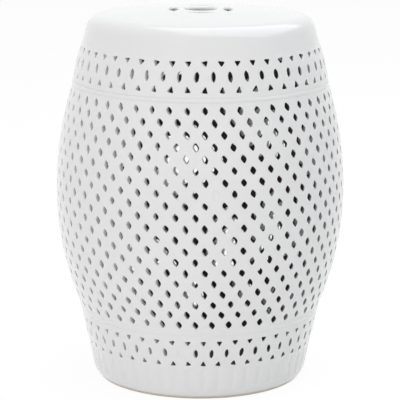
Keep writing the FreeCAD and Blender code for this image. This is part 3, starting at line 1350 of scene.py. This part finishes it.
@dataclass(frozen=True)
class Paper:
    """Matt paper that lies on the ground.

    Attributes:
        name: Name of the material.
        shade: Its grey.
        whiteness: How far it is seen as white instead, which leaves a trace of the shadows on it.
        glow: Strength of that white.
        roughness: Roughness of the paper.
        sides: Sides of a round sheet.
    """

    name: str
    shade: float
    whiteness: float = 0.0
    glow: float = 1.03
    roughness: float = 0.9
    sides: int = 64

    def material(self) -> bpy.types.Material:
        """Builds the paper as a node material.

        Returns:
            The material.
        """
        material = bpy.data.materials.new(self.name)
        material.use_nodes = True
        tree = material.node_tree
        shader = tree.nodes["Principled BSDF"]
        shader.inputs["Base Color"].default_value = (self.shade, self.shade, self.shade, 1.0)
        shader.inputs["Roughness"].default_value = self.roughness
        if self.whiteness:
            white = tree.nodes.new("ShaderNodeEmission")
            white.inputs["Color"].default_value = WHITE
            white.inputs["Strength"].default_value = self.glow
            shown = shown_as(tree, shader.outputs["BSDF"], white.outputs["Emission"], self.whiteness)
            tree.links.new(shown, tree.nodes["Material Output"].inputs["Surface"])
        return material

    def lay(self, name: str, radius: float, height: float) -> None:
        """Lays one round sheet of the paper.

        Args:
            name: Its name.
            radius: Its radius.
            height: Where it lies.
        """
        mesh = bpy.data.meshes.new(name)
        bm = bmesh.new()
        bmesh.ops.create_circle(bm, cap_ends=True, segments=self.sides, radius=radius)
        bm.to_mesh(mesh)
        bm.free()
        sheet = bpy.data.objects.new(name, mesh)
        sheet.location.z = height
        bpy.context.scene.collection.objects.link(sheet)
        mesh.materials.append(self.material())
        sheet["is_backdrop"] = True


@dataclass(frozen=True)
class Studio:
    """The pale floor and world, the soft lamps and the camera of the photograph.

    The camera stands in front of the stool's axis, and its roll leans the picture clockwise. The floor has a
    darker disc inside the standing ring, whose grey is painted shade under the hollow stool. The world dims
    to
    the right and brightens behind the stool: the spans are of the direction's x and y, and the levels are
    what each end adds to the world's strength.
    """

    distance: float = 2499.0 * MM
    height: float = 766.7 * MM
    pitch: float = math.radians(12.39)
    roll: float = math.radians(0.246)
    lens: float = 185.33
    sensor: float = 36.0
    nearest: float = 0.1
    floor_radius: float = 6.0
    shade_radius: float = 0.12
    lit_paper: Paper = Paper(name="lit paper", shade=0.92, whiteness=0.88)
    # The disc's grey of 0.5 is painted shade under the hollow stool; the lamps' real shade falls on it too.
    painted_shade_paper: Paper = Paper(name="paper with painted shade", shade=0.5)
    right_span: Point = (0.1, 0.7)
    right_levels: Point = (0.0, -0.69)
    back_span: Point = (0.93, 0.99)
    back_levels: Point = (0.65, 1.0)
    lamps: tuple[Lamp, ...] = (
        Lamp("overhead", (0.85, 0.2, 2.6), (0.0, 0.0, 0.4), 3.6, 51.0, (0.95, 0.98, 1.0), mirrored=True),
        Lamp("left", (-1.9, -2.0, 0.2), (0.0, 0.0, 0.25), 2.4, 15.2, (1.0, 0.9, 0.94), mirrored=False),
        Lamp("right", (1.25, -2.35, 0.3), (0.0, 0.0, 0.25), 2.4, 17.8, (1.0, 1.0, 1.0), mirrored=False),
    )

    def camera(self) -> None:
        """Sets the camera where the photograph was taken from."""
        data = bpy.data.cameras.new("portrait")
        data.sensor_width = self.sensor
        data.lens = self.lens
        data.clip_start = self.nearest
        camera = bpy.data.objects.new("portrait", data)
        camera.location = (0.0, -self.distance, self.height)
        look = Matrix.Rotation(math.pi / 2 - self.pitch, 4, "X") @ Matrix.Rotation(self.roll, 4, "Z")
        camera.rotation_euler = look.to_euler()
        bpy.context.scene.collection.objects.link(camera)
        bpy.context.scene.camera = camera

    def floor(self) -> None:
        """Lays the white floor, and inside the standing ring a grey disc of painted shade, which the lamps
        also shade.
        """
        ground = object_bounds()[0].z
        self.lit_paper.lay("floor", self.floor_radius, ground - 2 * NEAR)
        self.painted_shade_paper.lay("painted_shade_floor", self.shade_radius, ground - NEAR)

    def world(self) -> None:
        """Sets a plain pale world, dimmer to the right, that is white to look at."""
        world = bpy.data.worlds.new("studio")
        world.use_nodes = True
        tree = world.node_tree
        axes = tree.nodes.new("ShaderNodeSeparateXYZ")
        place = tree.nodes.new("ShaderNodeTexCoord")
        tree.links.new(place.outputs["Generated"], axes.inputs["Vector"])
        right = remap(tree, axes.outputs["X"], self.right_span, self.right_levels)
        back = remap(tree, axes.outputs["Y"], self.back_span, self.back_levels)
        sky = tree.nodes["Background"]
        sky.inputs["Color"].default_value = WHITE
        tree.links.new(combine(tree, "ADD", right, back), sky.inputs["Strength"])
        white = tree.nodes.new("ShaderNodeBackground")
        white.inputs["Color"].default_value = WHITE
        white.inputs["Strength"].default_value = 1.0
        shown = shown_as(tree, sky.outputs["Background"], white.outputs["Background"], 1.0)
        tree.links.new(shown, tree.nodes["World Output"].inputs["Surface"])
        bpy.context.scene.world = world

    def build(self) -> None:
        """Sets the camera, the floor, the world and the lamps."""
        self.camera()
        self.floor()
        self.world()
        for lamp in self.lamps:
            lamp.hang()


def sections(form: Form) -> list[Section]:
    """The stool's sections.

    Args:
        form: The stool's outline.

    Returns:
        The sections from the ground up.
    """
    lower, upper = form.barrel()
    return [
        FootRing(form=form),
        FlutedFoot(form=form),
        FretBand(
            form=form,
            node="lower_fret_band",
            arc=form.lower_band(),
            cuts=(Cut.LOW_TRIANGLE_UP, Cut.LOW_OVAL, Cut.LOW_TRIANGLE_DOWN),
            oval_height=18.0 * MM,
            triangle_gap=13.9 * MM,
            seed=11,
            plugged=(1, 46),
        ),
        BeadRing(
            form=form,
            node="lower_bead_ring",
            foot_r=form.reach("lower_fret_band"),
            head_r=lower.foot_r,
            swell=0.4 * MM,
            inset=0.15 * MM,
        ),
        LatticeWall(form=form),
        BeadRing(
            form=form,
            node="upper_bead_ring",
            foot_r=upper.head_r,
            head_r=form.reach("upper_fret_band"),
            swell=0.7 * MM,
            inset=0.25 * MM,
        ),
        FretBand(
            form=form,
            node="upper_fret_band",
            arc=form.upper_band(),
            cuts=(Cut.TRIANGLE_UP, Cut.OVAL, Cut.TRIANGLE_DOWN),
            oval_height=23.8 * MM,
            triangle_gap=15.4 * MM,
            seed=13,
        ),
        SeatCap(form=form),
    ]


def main() -> None:
    """Builds and dresses the stool's sections from the ground up, then sets up the studio."""
    logging.basicConfig(level=logging.INFO, format="%(name)s: %(message)s")
    # inner is the bare clay with painted shade that darkens the stool's inside faces.
    glaze, inner, clay = GLAZE.material(), INNER_CLAY_AND_PAINTED_SHADE.material(), BARE_CLAY.material()
    for section in sections(Form()):
        section.build()
        section.dress([clay] if section.slot is Slot.CLAY else [glaze, inner])
    Studio().build()
    bpy.context.scene.view_settings.view_transform = "Standard"


if __name__ == "__main__":
    main()
